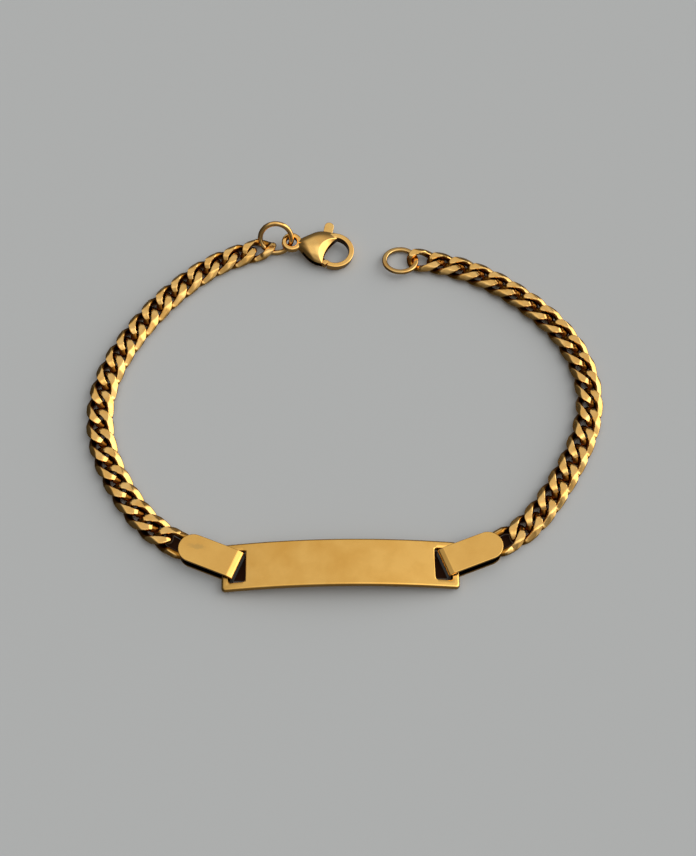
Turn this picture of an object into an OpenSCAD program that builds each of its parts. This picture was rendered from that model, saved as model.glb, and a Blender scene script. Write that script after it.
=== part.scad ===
/* [Name plate] */
// Length of the plate from end to end
plate_len = 33.6; // [30:0.2:40]
// Thickness of the plate
plate_t = 0.9; // [0.7:0.05:1.2]
// Rise of the arched middle over the two ends
plate_rise = 1.9; // [1:0.1:3]
// Radius of the four corners
plate_corner_r = 0.6; // [0.3:0.05:1]
// Rounding of the long edges
plate_edge_r = 0.28; // [0.1:0.02:0.34]
// Width of the bar outside each slot
bar_w = 1; // [0.8:0.05:1.4]
// Metal beside each slot
rail_w = 1.15; // [1:0.05:2]
// Free play between a tab's bend and the inner end of its slot
slot_play = 0.24; // [0.1:0.02:0.5]
// Rounding of the slot corners
slot_corner_r = 0.4; // [0.1:0.05:0.6]

/* [Folded tabs] */
// Free height between the plate's end and a tab's upper leaf
tab_play = 0.3; // [0.05:0.05:0.5]
// Length of a tab from its bend to its round end
tab_len = 9.1; // [8:0.1:11]
// Width of the folded strap
tab_w = 4.2; // [3.6:0.1:5]
// Thickness of the strap
sheet_t = 0.4; // [0.3:0.02:0.5]
// Turn of the left tab away from the plate's line, as it lies
left_tab_turn = 22.8; // [15:0.1:25]
// Turn of the right tab away from the plate's line, as it lies
right_tab_turn = 20.7; // [15:0.1:25]
// Length of the sloping strip between the crease and the bend
fold_len = 0.9; // [0.8:0.05:1.2]
// Fall of the sloping strip
fold_drop = 0.35; // [0.25:0.05:0.5]
// Diameter of the hidden post that holds the last link
post_d = 0.7; // [0.5:0.05:0.9]
// Distance of the post from the round end
post_in = 0.7; // [0.6:0.05:1.1]

/* [Curb chain] */
// Number of links on each side
chain_links = 21; // [19:1:23]
// Diameter of the link wire
wire_d = 1.06; // [0.9:0.02:1.1]
// Width of the chain
chain_w = 4.1; // [3.9:0.02:4.4]
// Height of the chain after both faces are filed flat
chain_h = 1.72; // [1.5:0.02:2]
// Play between one link and the next
link_play = 0.21; // [0.19:0.01:0.24]
// Twist of a link at each end, in degrees
link_twist = 50; // [46:1:54]
// Width of the filed bevel along each side
bevel_w = 0.7; // [0.4:0.05:0.9]
// Height of the filed bevel
bevel_h = 0.6; // [0.4:0.05:0.7]

/* [Rings] */
// Outer diameter of the jump ring
jump_d = 5.74; // [5.6:0.02:6]
// Diameter of the jump ring wire
jump_wire_d = 0.66; // [0.5:0.02:0.7]
// Lean of the jump ring from flat
jump_lean = 60; // [56:1:64]
// Outer diameter of the end ring
end_ring_d = 5.7; // [5.4:0.05:6]
// Breadth of the end ring's flat rim
end_rim_w = 0.54; // [0.44:0.02:0.58]
// Height of the end ring's rim
end_rim_h = 0.46; // [0.4:0.02:0.5]
// Lean of the end ring, its near side up
end_lean = 14; // [12:1:16]

/* [Lobster clasp] */
// Distance from the eye to the middle of the hook
clasp_reach = 7.1; // [6.8:0.1:7.8]
// Outer diameter of the hook
hook_d = 6.2; // [5.8:0.1:6.6]
// Breadth of the hook's band
hook_band = 0.75; // [0.6:0.05:0.9]
// Height of the hook's band
hook_h = 1.2; // [1.1:0.05:1.5]
// Greatest height of the pear-shaped body
clasp_h = 2.8; // [2.6:0.05:3.2]
// Outer diameter of the eye
eye_d = 3.2; // [3.1:0.05:3.4]
// Diameter of the eye's round rim
eye_rim_d = 0.74; // [0.6:0.02:0.78]
// Thickness of the lever
lever_t = 0.55; // [0.45:0.05:0.65]
// Width of the thumb tab
thumb_w = 1.4; // [1.2:0.05:1.5]
// Reach of the thumb tab from the clasp's middle line
thumb_reach = 5; // [4.6:0.05:5.2]
// Diameter of the pivot pin
pin_d = 0.76; // [0.6:0.02:0.9]
// How far the lever opens, in degrees
lever_swing = 25; // [15:1:28]

/* [Clearances] */
// Between the lever and the body around it
lever_gap = 0.1; // [0.08:0.01:0.14]
// Between the pin and the holes it fits
pin_gap = 0.04; // [0.02:0.01:0.08]
// Between a tab and the bar that it wraps
swing_gap = 0.1; // [0.08:0.01:0.2]
// Above and below a piece that lies inside another
seat_gap = 0.05; // [0.04:0.01:0.1]

/* [Hidden] */
$fn = 64;
FINE = 0.01;

// Plate
arch_r = (pow(plate_len / 2, 2) + pow(plate_rise, 2)) / (2 * plate_rise);
end_slope = asin(plate_len / 2 / arch_r);
most_turn = max(left_tab_turn, right_tab_turn);
least_turn = min(left_tab_turn, right_tab_turn);
slot_len = tab_w * sin(most_turn) + sheet_t / cos(most_turn) + swing_gap + slot_play;
slot_w = tab_w * cos(least_turn) + sheet_t * sin(most_turn) + 2 * swing_gap + slot_corner_r;
plate_w = slot_w + 2 * rail_w;
bar_h = plate_t / cos(end_slope) + bar_w * tan(end_slope);
plate_foot = sheet_t + seat_gap;
plate_at = [-1.1, -28.1];

// Tab: its bend face stands in the middle of the slot, free of the bar
fold_angle = atan(fold_drop / fold_len);
fall_at_bar = fold_drop * (1 - (sheet_t + swing_gap) / fold_len);
tab_h = sheet_t + seat_gap + bar_h + tab_play + fall_at_bar + sheet_t / cos(fold_angle);
bend_r = 0.4;
function bend_x(turn) = plate_len / 2 - bar_w - swing_gap - sheet_t / cos(turn) - tab_w / 2 * sin(turn);
function post_at(side, turn) = plate_at
    + [side * (bend_x(turn) + (tab_len - post_in) * cos(turn)), (tab_len - post_in) * sin(turn)];

// Chain: the last link's flat end lies round the post
wire_r = wire_d / 2;
left_link_turn = 30;
right_link_turn = 30;
last_link_extra = 0.5;
last_link_z = sheet_t + wire_r + seat_gap;
// The link that carries the end ring lies a little rolled
end_link_roll = 4;
end_link_lift = 0.09;
RING_STEPS = 16;
WIRE_STEPS = 6;
END_FULLNESS = 0.8;
CURVE_STEPS = 10;
CORNER_STEPS = 5;
ARC_STEPS = 12;
// Points the chain's middle line passes through, from the clasp end to the tab
LEFT_ROUTE = [[-13.5, 27.3], [-19, 25.2], [-24, 21.8], [-29, 16.7], [-33.3, 10.4],
    [-36.2, 3.9], [-37.1, -2.5], [-36, -9], [-33, -15.4], [-28.9, -20.9]];
RIGHT_ROUTE = [[13, 24.6], [18.4, 23.2], [24.4, 20.1], [30.2, 15.2], [34.4, 9.8],
    [36.7, 3.6], [36.9, -2.6], [35, -8.8], [31.2, -15.6], [26.8, -21.4]];
// A first guess of the pitch places the last link; the links then share the route evenly
first_pitch = 3.28;
last_grip = (first_pitch + link_play) / 2 + last_link_extra - post_d / 2 - seat_gap * 2;
left_end = post_at(-1, left_tab_turn) + last_grip * [-cos(left_link_turn), sin(left_link_turn)];
right_end = post_at(1, right_tab_turn) + last_grip * [cos(right_link_turn), sin(right_link_turn)];

// Rings
jump_r = (jump_d - jump_wire_d) / 2;
jump_at = LEFT_ROUTE[0] + [2.7, 0.95];
jump_z = jump_r * sin(jump_lean) + jump_wire_d / 2 + FINE * 2;
end_mid_r = (end_ring_d - end_rim_w) / 2;
end_at = RIGHT_ROUTE[0] + [-3.81, 0.09];
end_z = end_mid_r * sin(end_lean) + end_rim_h / 2 + 2 * seat_gap;

// Clasp, in its own frame: the eye at the origin, the hook along X
clasp_at = jump_at + [2.52, -0.42];
clasp_turn = -11.9;
clasp_pitch = 5.5;
clasp_roll = 6;
clasp_z = clasp_h / 2 + 0.5;
eye_mid_r = (eye_d - eye_rim_d) / 2;
hook_r = hook_d / 2;
bore_r = hook_r - hook_band;
pivot = [clasp_reach - 3.7, 0];
hub_r = 1.1;
stem_angle = 120;
gate_r = bore_r - 0.1;
slot_h = lever_t + 2 * lever_gap;
root_angle = 122;
tip_angle = -104;
tip_point = [clasp_reach, 0] + hook_r * [cos(tip_angle), sin(tip_angle)];
tip_reach = norm(tip_point - pivot) - 0.15;
thumb_r = thumb_w / 2;
thumb_base = [clasp_reach - 1.8, 2.4];
thumb_top = [thumb_base.x, thumb_reach - thumb_r];
// The slot for the lever runs from the neck to the bridge that carries the hook
slot_back = pivot.x - hub_r - lever_gap;
slot_front = thumb_base.x + thumb_r + lever_gap;
bridge_low = 1.7;
// The body's front edge is the arc of a wide circle, bevelled above and below it
nose_r = 2 * hook_r;
nose_x = clasp_reach - hook_r / 2;
nose_at = [nose_x + nose_r, -0.6 * hook_r];
slot_low = nose_x + 0.4;
nose_edge_z = slot_h / 2 + 0.18;
nose_slope = 38;
nose_rise = clasp_h / 2;
// Sections of the pear body: distance from the eye as a share of the reach,
// half width as a share of the hook's radius, half height as a share of half the body's height
PEAR = [[0.125, 0.2, 0.28], [0.2, 0.34, 0.5], [0.3, 0.52, 0.74], [0.42, 0.73, 0.93],
    [0.54, 0.89, 1], [0.66, 0.97, 0.98], [0.78, 1, 0.88], [0.9, 1, 0.72], [1, 0.97, 0.55]];
PEAR_SIDES = 28;
// The pear is a little fuller on the thumb's side
FAR_FULLNESS = 1.08;

function unit(v) = v / norm(v);

// Points along an arc round mid, from angle a0 to angle a1
function arc(mid, r, a0, a1) = [
    for (i = [0 : ARC_STEPS]) let (a = a0 + (a1 - a0) * i / ARC_STEPS) mid + r * [cos(a), sin(a)]];

// Catmull-Rom curve through the points p, at share u of its span i
function curve_at(p, i, u) =
    let (a = i > 0 ? p[i - 1] : 2 * p[0] - p[1])
    let (b = p[i])
    let (c = p[i + 1])
    let (d = i + 2 < len(p) ? p[i + 2] : 2 * p[i + 1] - p[i])
    0.5 * (2 * b + (c - a) * u + (2 * a - 5 * b + 4 * c - d) * u * u
        + (3 * b - a - 3 * c + d) * u * u * u);

function curve(p) = concat(
    [for (i = [0 : len(p) - 2], j = [0 : CURVE_STEPS - 1]) curve_at(p, i, j / CURVE_STEPS)],
    [p[len(p) - 1]]);

// Distance run along the polyline q at each of its points
function run(q) = [for (i = 0, s = 0; i < len(q); s = s + norm(q[min(i + 1, len(q) - 1)] - q[i]), i = i + 1) s];

// Places of the links, evenly spaced along the route
function link_places(route) =
    let (q = curve(route))
    let (s = run(q))
    let (step = s[len(s) - 1] / (chain_links - 1))
    let (xs = [for (i = [0 : len(q) - 1]) [s[i], q[i].x]])
    let (ys = [for (i = [0 : len(q) - 1]) [s[i], q[i].y]])
    [for (k = [0 : chain_links - 1]) [lookup(k * step, xs), lookup(k * step, ys)]];

// Middle line of a link at angle t: an oval whose two ends are twisted apart;
// the far end of the last link is longer and flat, to lie inside a tab
function link_mid(t, half_l, half_w, is_last) =
    let (c = sign(cos(t)) * pow(abs(cos(t)), END_FULLNESS))
    let (far = is_last && c > 0)
    let (turn = far ? 0 : link_twist * c)
    [(half_l + (far ? last_link_extra : 0)) * c, half_w * sin(t) * cos(turn), -half_w * sin(t) * sin(turn)];

// Planes that the chain is filed to, as a direction and a distance from the middle
bevel_n = unit([0, bevel_h, bevel_w]);
bevel_at = bevel_n * [0, chain_w / 2, chain_h / 2 - bevel_h];
FILED = concat([for (s = [-1, 1]) [[0, 0, s], chain_h / 2]],
    [for (s = [-1, 1]) [[0, s, 0], chain_w / 2]],
    [for (sy = [-1, 1], sz = [-1, 1]) [[0, sy * bevel_n.y, sz * bevel_n.z], bevel_at]]);

// Reach of the wire's surface from its middle c in direction d, cut short by the filed planes
function wire_reach(c, d) =
    min(concat([wire_r], [for (p = FILED) let (k = d * p[0]) if (k > FINE) (p[1] - c * p[0]) / k]));

function link_points(half_l, half_w, is_last) = [
    for (i = [0 : RING_STEPS - 1])
        let (t = (i + 0.5) * 360 / RING_STEPS)
        let (c = link_mid(t, half_l, half_w, is_last))
        let (ahead = unit(link_mid(t + 1, half_l, half_w, is_last) - link_mid(t - 1, half_l, half_w, is_last)))
        let (side = unit(cross([0, 0, 1], ahead)))
        let (up = cross(ahead, side))
        for (j = [0 : WIRE_STEPS - 1])
            let (a = (j + 0.5) * 360 / WIRE_STEPS)
            let (d = cos(a) * side + sin(a) * up)
            c + wire_reach(c, d) * d];

// Two triangles for each patch of a closed ring of sections
function ring_faces(rings, sides) = [
    for (i = [0 : rings - 1], j = [0 : sides - 1])
        let (a = i * sides + j)
        let (b = i * sides + (j + 1) % sides)
        let (c = ((i + 1) % rings) * sides + j)
        let (d = ((i + 1) % rings) * sides + (j + 1) % sides)
        each [[a, d, b], [a, c, d]]];

module curb_link(pitch, is_last) {
    half_l = (pitch + wire_d + link_play) / 2;
    half_w = chain_w / 2 - wire_r;
    polyhedron(link_points(half_l, half_w, is_last), ring_faces(RING_STEPS, WIRE_STEPS), convexity = 6);
}

module curb_chain(route, last_course, first_roll, first_lift) {
    places = link_places(route);
    pitch = norm(places[1] - places[0]);
    last = chain_links - 1;
    last_lift = last_link_z - chain_h / 2;
    for (k = [0 : last]) {
        ahead = places[min(k + 1, last)] - places[max(k - 1, 0)];
        course = k == last ? last_course : atan2(ahead.y, ahead.x);
        // The links beside a raised one share its lift
        rise = k == 0 ? first_lift : k == 1 ? first_lift / 2 : k == last - 1 ? last_lift / 2 : 0;
        lift = k == last ? last_link_z : chain_h / 2 + rise;
        translate([places[k].x, places[k].y, lift])
            rotate([k == 0 ? first_roll : 0, 0, course])
                curb_link(pitch, k == last);
    }
}

module chain_left() {
    color("goldenrod") curb_chain(concat(LEFT_ROUTE, [left_end]), -left_link_turn, 0, 0);
}

module chain_right() {
    color("goldenrod")
        curb_chain(concat(RIGHT_ROUTE, [right_end]), 180 + right_link_turn, end_link_roll, end_link_lift);
}

module rounded_rect(size, r) {
    polygon([for (corner = [0 : 3], step = [0 : CORNER_STEPS])
        let (mid = [size.x / 2 - r, size.y / 2 - r])
        let (side = [corner == 0 || corner == 3 ? 1 : -1, corner < 2 ? 1 : -1])
        let (a = (corner + step / CORNER_STEPS) * 90)
        [side.x * mid.x + r * cos(a), side.y * mid.y + r * sin(a)]]);
}

// The arched strip is a short piece of a wide hoop with rounded edges
module plate_hoop() {
    rotate([90, 0, 0])
        rotate_extrude($fn = 360)
            translate([arch_r - plate_t / 2, 0])
                rounded_rect([plate_t, plate_w], plate_edge_r);
}

module id_plate() {
    top_z = plate_foot + plate_t / cos(end_slope) + plate_rise;
    color("goldenrod")
        translate([plate_at.x, plate_at.y, 0])
            difference() {
                intersection() {
                    translate([0, 0, top_z - arch_r]) plate_hoop();
                    linear_extrude(2 * top_z) rounded_rect([plate_len, plate_w], plate_corner_r);
                }
                for (s = [-1, 1])
                    translate([s * (plate_len / 2 - bar_w - slot_len / 2), 0, -FINE])
                        linear_extrude(2 * top_z) rounded_rect([slot_len, slot_w], slot_corner_r);
            }
}

// Side view of the strap: bend face at X = 0, sloping strip, then two level leaves
module tab_profile() {
    crease_in = fold_len * (1 + sheet_t * (1 / cos(fold_angle) - 1) / fold_drop);
    bend_in_z = tab_h - fold_drop * (1 - sheet_t / fold_len) - sheet_t / cos(fold_angle);
    turn_out = arc([bend_r, bend_r], bend_r, 180, 270);
    polygon(concat(turn_out, [[tab_len, 0], [tab_len, sheet_t], [sheet_t, sheet_t], [sheet_t, bend_in_z],
        [crease_in, tab_h - sheet_t], [tab_len, tab_h - sheet_t], [tab_len, tab_h],
        [fold_len, tab_h], [0, tab_h - fold_drop]]));
}

module tab() {
    round_r = tab_w / 2;
    intersection() {
        rotate([90, 0, 0])
            translate([0, 0, -round_r]) linear_extrude(tab_w) tab_profile();
        linear_extrude(tab_h) {
            translate([0, -round_r]) square([tab_len - round_r, tab_w]);
            translate([tab_len - round_r, 0]) circle(round_r);
        }
    }
    translate([tab_len - post_in, 0, sheet_t / 2]) cylinder(h = tab_h - sheet_t, d = post_d);
}

module tab_right() {
    color("goldenrod")
        translate([plate_at.x + bend_x(right_tab_turn), plate_at.y, 0]) rotate([0, 0, right_tab_turn]) tab();
}

module tab_left() {
    color("goldenrod")
        translate([plate_at.x - bend_x(left_tab_turn), plate_at.y, 0]) rotate([0, 0, 180 - left_tab_turn]) tab();
}

module jump_ring() {
    color("gold")
        translate([jump_at.x, jump_at.y, jump_z]) rotate([jump_lean, 0, 0])
            rotate_extrude() translate([jump_r, 0]) circle(d = jump_wire_d, $fn = 32);
}

module end_ring() {
    color("gold")
        translate([end_at.x, end_at.y, end_z]) rotate([-end_lean, 0, 0])
            rotate_extrude() translate([end_mid_r, 0]) rounded_rect([end_rim_w, end_rim_h], 0.14);
}

module in_clasp_frame() {
    translate([clasp_at.x, clasp_at.y, clasp_z]) rotate([clasp_roll, clasp_pitch, clasp_turn]) children();
}

// Rounded sections from the neck to the front, closed by a flat at each end
function pear_points() = [
    for (row = PEAR, j = [0 : PEAR_SIDES - 1])
        let (a = j * 360 / PEAR_SIDES)
        let (full = cos(a) > 0 ? FAR_FULLNESS : 1)
        [row[0] * clasp_reach, row[1] * hook_r * full * cos(a), row[2] * clasp_h / 2 * sin(a)]];

module pear() {
    n = PEAR_SIDES;
    last = (len(PEAR) - 1) * n;
    walls = [for (i = [0 : len(PEAR) - 2], j = [0 : n - 1])
        let (a = i * n + j)
        let (b = i * n + (j + 1) % n)
        each [[a, b + n, b], [a, a + n, b + n]]];
    near = [for (j = [0 : n - 1]) j];
    front = [for (j = [n - 1 : -1 : 0]) last + j];
    polyhedron(pear_points(), concat(walls, [near, front]), convexity = 4);
}

// The space in front of the body: a wide drum that opens into a cone above and below
module in_front_of_nose() {
    wide_r = nose_r + nose_rise / tan(nose_slope);
    top_z = nose_edge_z + nose_rise;
    translate([nose_at.x, nose_at.y, 0])
        rotate_extrude()
            polygon([[0, -top_z], [wide_r, -top_z], [nose_r, -nose_edge_z],
                [nose_r, nose_edge_z], [wide_r, top_z], [0, top_z]]);
}

// Band of the hook, from its root in the body round to the point where the gate closes
module hook_plan() {
    difference() {
        translate([clasp_reach, 0])
            difference() {
                circle(hook_r);
                circle(bore_r);
                polygon([[0, 0], hook_d * [cos(root_angle), sin(root_angle)], [-hook_d, hook_d],
                    [-hook_d, -hook_d], hook_d * [cos(tip_angle), sin(tip_angle)]]);
            }
        translate(pivot) intersection() {
            circle(tip_reach + lever_gap);
            translate([0, -2 * hook_d]) square(2 * hook_d);
        }
    }
}

module clasp_body() {
    color("goldenrod")
        in_clasp_frame()
            difference() {
                union() {
                    difference() {
                        pear();
                        in_front_of_nose();
                        // The neck ends inside the rim of the eye
                        translate([0, 0, -clasp_h]) cylinder(h = 2 * clasp_h, r = eye_mid_r);
                    }
                    translate([0, 0, -hook_h / 2]) linear_extrude(hook_h) hook_plan();
                    rotate_extrude() translate([eye_mid_r, 0]) circle(d = eye_rim_d, $fn = 32);
                }
                // Room for the lever and its swing, open to both sides and the front
                linear_extrude(slot_h, center = true) {
                    polygon([[slot_back, 0], [slot_back + 1, hook_d], [slot_front, hook_d],
                        [slot_front, bridge_low], [clasp_reach, bridge_low], [clasp_reach, 0]]);
                    polygon([[slot_back, 0], [slot_back, -hook_d], [slot_low, -hook_d], [slot_low, 0]]);
                }
                translate([pivot.x, pivot.y, -clasp_h])
                    cylinder(h = 2 * clasp_h, d = pin_d + 2 * pin_gap);
            }
}

// Turn, about the hook's middle, of the near-side point at radius r that lies so far from the pivot
function near_turn(r, from_pivot) =
    let (d = clasp_reach - pivot.x)
    -acos((pow(from_pivot, 2) - pow(d, 2) - pow(r, 2)) / (2 * d * r));

// Outline of the lever: gate, hub round the pin, stem and thumb tab
function lever_outline() =
    let (mid = [clasp_reach, 0])
    let (hub_turn = near_turn(hook_r, hub_r))
    let (hub_start = mid + hook_r * [cos(hub_turn), sin(hub_turn)] - pivot)
    concat(arc(mid, hook_r, near_turn(hook_r, tip_reach), hub_turn),
        arc(pivot, hub_r, atan2(hub_start.y, hub_start.x), stem_angle - 360),
        [thumb_base - [thumb_r, 0]],
        arc(thumb_top, thumb_r, 180, 0),
        [thumb_base + [thumb_r, 0]],
        arc(mid, gate_r, 180, 360 + near_turn(gate_r, tip_reach)));

module clasp_lever() {
    color("gold")
        in_clasp_frame()
            difference() {
                linear_extrude(lever_t, center = true) polygon(lever_outline());
                translate([pivot.x, pivot.y, -lever_t])
                    cylinder(h = 2 * lever_t, d = pin_d + 2 * pin_gap);
            }
}

module clasp_pin() {
    color("gold")
        in_clasp_frame()
            translate([pivot.x, pivot.y, 0]) cylinder(h = clasp_h * 0.96, d = pin_d, center = true);
}

id_plate();
tab_left();
tab_right();
chain_left();
chain_right();
jump_ring();
end_ring();
clasp_body();
clasp_lever();
clasp_pin();
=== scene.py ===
# %% [markdown]
# # Dressing an id bracelet round its CAD frame
#
# The real object is an open id bracelet of gold-plated steel. An arched plate
# has a slot near each end, a folded tab wraps the bar outside each slot, and
# each tab holds one half of a diamond-cut curb chain. One half ends in a plain
# ring and the other in a lobster clasp.
#
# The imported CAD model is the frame. Every piece below is worked out with numpy
# in millimetres, in the same place as its CAD node, and then put into metres.

import bmesh
import bpy
import numpy as np
from mathutils import Matrix


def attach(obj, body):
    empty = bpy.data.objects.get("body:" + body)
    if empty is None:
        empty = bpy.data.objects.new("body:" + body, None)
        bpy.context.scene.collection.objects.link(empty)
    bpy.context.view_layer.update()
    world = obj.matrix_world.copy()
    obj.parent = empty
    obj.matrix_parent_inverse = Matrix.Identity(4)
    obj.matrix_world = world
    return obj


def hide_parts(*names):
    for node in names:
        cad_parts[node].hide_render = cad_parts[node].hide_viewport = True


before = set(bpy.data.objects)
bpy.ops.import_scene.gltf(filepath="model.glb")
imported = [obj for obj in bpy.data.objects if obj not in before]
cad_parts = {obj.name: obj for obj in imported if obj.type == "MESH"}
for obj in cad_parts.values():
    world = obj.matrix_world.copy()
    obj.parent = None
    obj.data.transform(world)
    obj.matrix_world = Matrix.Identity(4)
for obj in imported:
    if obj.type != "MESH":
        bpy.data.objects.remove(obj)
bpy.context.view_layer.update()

print("CAD nodes:", sorted(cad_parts))

# %% [markdown]
# ## Camera
#
# The photograph looks down at the bracelet from the plate's side. The camera's
# place was worked out from the plate's and chain's sizes in the photograph, and
# its lens is given as the focal length in pixels of a picture 696 wide.

# %% Camera
PHOTO_WIDTH = 696
FOCAL_PIXELS = 1300
CAMERA_AT = (-0.001043, -0.097284, 0.173224)
CAMERA_TILT, CAMERA_HEADING = 28.0, -0.85

camera_data = bpy.data.cameras.new("camera")
camera_data.sensor_fit = "HORIZONTAL"
camera_data.sensor_width = 36.0
camera_data.lens = camera_data.sensor_width * FOCAL_PIXELS / PHOTO_WIDTH
camera_data.clip_start = 0.01
camera = bpy.data.objects.new("camera", camera_data)
camera.location = CAMERA_AT
camera.rotation_euler = (np.radians(CAMERA_TILT), 0, np.radians(CAMERA_HEADING))
bpy.context.scene.collection.objects.link(camera)
bpy.context.scene.camera = camera
print("lens %.1f mm" % camera_data.lens)

# %% [markdown]
# ## Helpers for meshes
#
# A surface is a grid of points: its rows run one way and its columns the other.
# A side that closes on itself is wrapped, so that no seam is left open.

# %% Mesh helpers
MM = 0.001
MERGE = 1e-7


def grid_faces(rows, cols, wrap_rows=False, wrap_cols=False):
    """Quads between neighbouring rows and columns; a wrapped side joins its last line to its first."""
    r = np.arange(rows if wrap_rows else rows - 1)[:, None]
    c = np.arange(cols if wrap_cols else cols - 1)[None, :]
    next_r, next_c = (r + 1) % rows, (c + 1) % cols
    corners = [r * cols + c, r * cols + next_c, next_r * cols + next_c, next_r * cols + c]
    return np.stack(np.broadcast_arrays(*corners), -1).reshape(-1, 4)


def shell(grid, wrap_rows=False, wrap_cols=True, caps=False):
    """A grid as a flat list of points and a list of faces; caps close its first and last rows."""
    rows, cols = grid.shape[:2]
    faces = grid_faces(rows, cols, wrap_rows, wrap_cols).tolist()
    if caps:
        faces += [list(range(cols))[::-1], list(range((rows - 1) * cols, rows * cols))]
    return grid.reshape(-1, 3), faces


def round_section(r, steps=28):
    """Points round a circle, such as a wire's section."""
    turn = np.linspace(0, 2 * np.pi, steps, endpoint=False)
    return r * np.stack([np.cos(turn), np.sin(turn)], -1)


def prism(plan, low, high):
    """An outline drawn upright between two heights."""
    return np.stack([np.column_stack([plan, np.full(len(plan), z)]) for z in (low, high)])


def joined(shells):
    """Several shells as one list of points and faces."""
    points, faces, start = [], [], 0
    for p, f in shells:
        points.append(p)
        faces += [[i + start for i in face] for face in f]
        start += len(p)
    return np.concatenate(points), faces


def tidy_normals(mesh, merge):
    """Merges doubled points and turns every face outwards."""
    work = bmesh.new()
    work.from_mesh(mesh)
    bmesh.ops.remove_doubles(work, verts=work.verts, dist=merge)
    bmesh.ops.recalc_face_normals(work, faces=work.faces)
    work.to_mesh(mesh)
    work.free()


def add_object(name, points, faces, attributes=None, merge=MERGE / MM):
    """An object at the origin from points in millimetres; it is put into metres by finish_piece."""
    mesh = bpy.data.meshes.new(name)
    mesh.from_pydata(points.tolist(), [], faces)
    for key, values in (attributes or {}).items():
        layer = mesh.attributes.new(key, "FLOAT", "POINT")
        layer.data.foreach_set("value", np.asarray(values, np.float32).ravel())
    tidy_normals(mesh, merge)
    piece = bpy.data.objects.new(name, mesh)
    bpy.context.scene.collection.objects.link(piece)
    return piece


def apply_modifiers(piece):
    """Keeps the mesh that the modifiers make, and drops the modifiers."""
    bpy.context.view_layer.update()
    modified = piece.evaluated_get(bpy.context.evaluated_depsgraph_get())
    made = bpy.data.meshes.new_from_object(modified)
    piece.modifiers.clear()
    piece.data = made


def carve(piece, cutter):
    """Takes one closed shell out of another."""
    cut = piece.modifiers.new("cut", "BOOLEAN")
    cut.object, cut.operation, cut.solver = cutter, "DIFFERENCE", "EXACT"
    apply_modifiers(piece)
    bpy.data.objects.remove(cutter)


def finish_piece(piece, material, body, nodes, sharp=30):
    """Puts a piece into metres, shades it, gives it its finish and hands it to the frame."""
    mesh = piece.data
    mesh.transform(Matrix.Scale(MM, 4))
    mesh.shade_smooth()
    mesh.set_sharp_from_angle(angle=np.radians(sharp))
    mesh.materials.clear()
    mesh.materials.append(material)
    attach(piece, body)
    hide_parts(*nodes)
    print(piece.name, len(mesh.polygons), "faces")


# %% [markdown]
# ## Helpers for materials
#
# Colours are written as sRGB hex values, as a colour picker gives them, and one
# function turns them to the linear values that Cycles works in. One small
# function adds a node with its settings and its links.

# %% Material helpers
def linear(hex_colour):
    """Linear red, green, blue and alpha of an sRGB hex colour."""
    srgb = np.array([int(hex_colour[i:i + 2], 16) for i in (1, 3, 5)]) / 255
    low, high = srgb / 12.92, ((srgb + 0.055) / 1.055) ** 2.4
    return (*np.where(srgb <= 0.04045, low, high).tolist(), 1.0)


def add_node(tree, kind, inputs=None, **settings):
    """Adds one node; each input takes a value or another node's output."""
    new = tree.nodes.new(kind)
    for key, value in settings.items():
        setattr(new, key, value)
    for key, value in (inputs or {}).items():
        if isinstance(value, bpy.types.NodeSocket):
            tree.links.new(value, new.inputs[key])
        else:
            new.inputs[key].default_value = value
    return new


def per_metre(size_mm):
    """Noise scale that gives patches of this size."""
    return 1 / (size_mm * MM)


# %% [markdown]
# ## Gold finishes
#
# Gold plating on steel is a metal with a warm yellow reflection and no colour of
# its own beside it. What changes from piece to piece is how it was made: the
# plate and tabs were polished on a wheel, so they are a little wavy and mottled,
# and the chain's facets were cut with a diamond and are flat and bright. The
# wire between the facets is given painted shade further down.

# %% Gold finishes
GOLD = "#FBC76E"
# Numbers of the Mix node's colour sockets, whose names it uses more than once
MIX_FACTOR, MIX_A, MIX_B, MIX_COLOUR = 0, 6, 7, 2


def gold_finish(name, bright, deep, patch_mm, rough, wave_mm, wave_height_mm, scratch_mm=0.25):
    """Plated metal: the colour drifts between two tones in soft patches, roughness follows fine
    rubbing marks, and a shallow wave bends the reflections as a polishing wheel leaves them."""
    material = bpy.data.materials.new(name)
    material.use_nodes = True
    tree = material.node_tree
    skin = tree.nodes["Principled BSDF"]
    skin.inputs["Metallic"].default_value = 1.0
    place = add_node(tree, "ShaderNodeTexCoord").outputs["Object"]
    patches = add_node(tree, "ShaderNodeTexNoise", {
        "Vector": place, "Scale": per_metre(patch_mm), "Detail": 3.0, "Roughness": 0.55})
    tone = add_node(tree, "ShaderNodeMapRange", {
        "Value": patches.outputs["Fac"], "From Min": 0.35, "From Max": 0.65})
    colour = add_node(tree, "ShaderNodeMix", {
        MIX_FACTOR: tone.outputs["Result"], MIX_A: linear(deep), MIX_B: linear(bright)},
        data_type="RGBA")
    tree.links.new(colour.outputs[MIX_COLOUR], skin.inputs["Base Color"])
    rubbing = add_node(tree, "ShaderNodeTexNoise", {
        "Vector": place, "Scale": per_metre(scratch_mm), "Detail": 4.0, "Roughness": 0.7})
    dullness = add_node(tree, "ShaderNodeMapRange", {
        "Value": rubbing.outputs["Fac"], "From Min": 0.3, "From Max": 0.7,
        "To Min": rough[0], "To Max": rough[1]})
    tree.links.new(dullness.outputs["Result"], skin.inputs["Roughness"])
    waves = add_node(tree, "ShaderNodeTexNoise", {
        "Vector": place, "Scale": per_metre(wave_mm), "Detail": 1.5, "Roughness": 0.4})
    bend = add_node(tree, "ShaderNodeBump", {
        "Height": waves.outputs["Fac"], "Strength": 1.0, "Distance": wave_height_mm * MM})
    tree.links.new(bend.outputs["Normal"], skin.inputs["Normal"])
    return material


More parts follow.
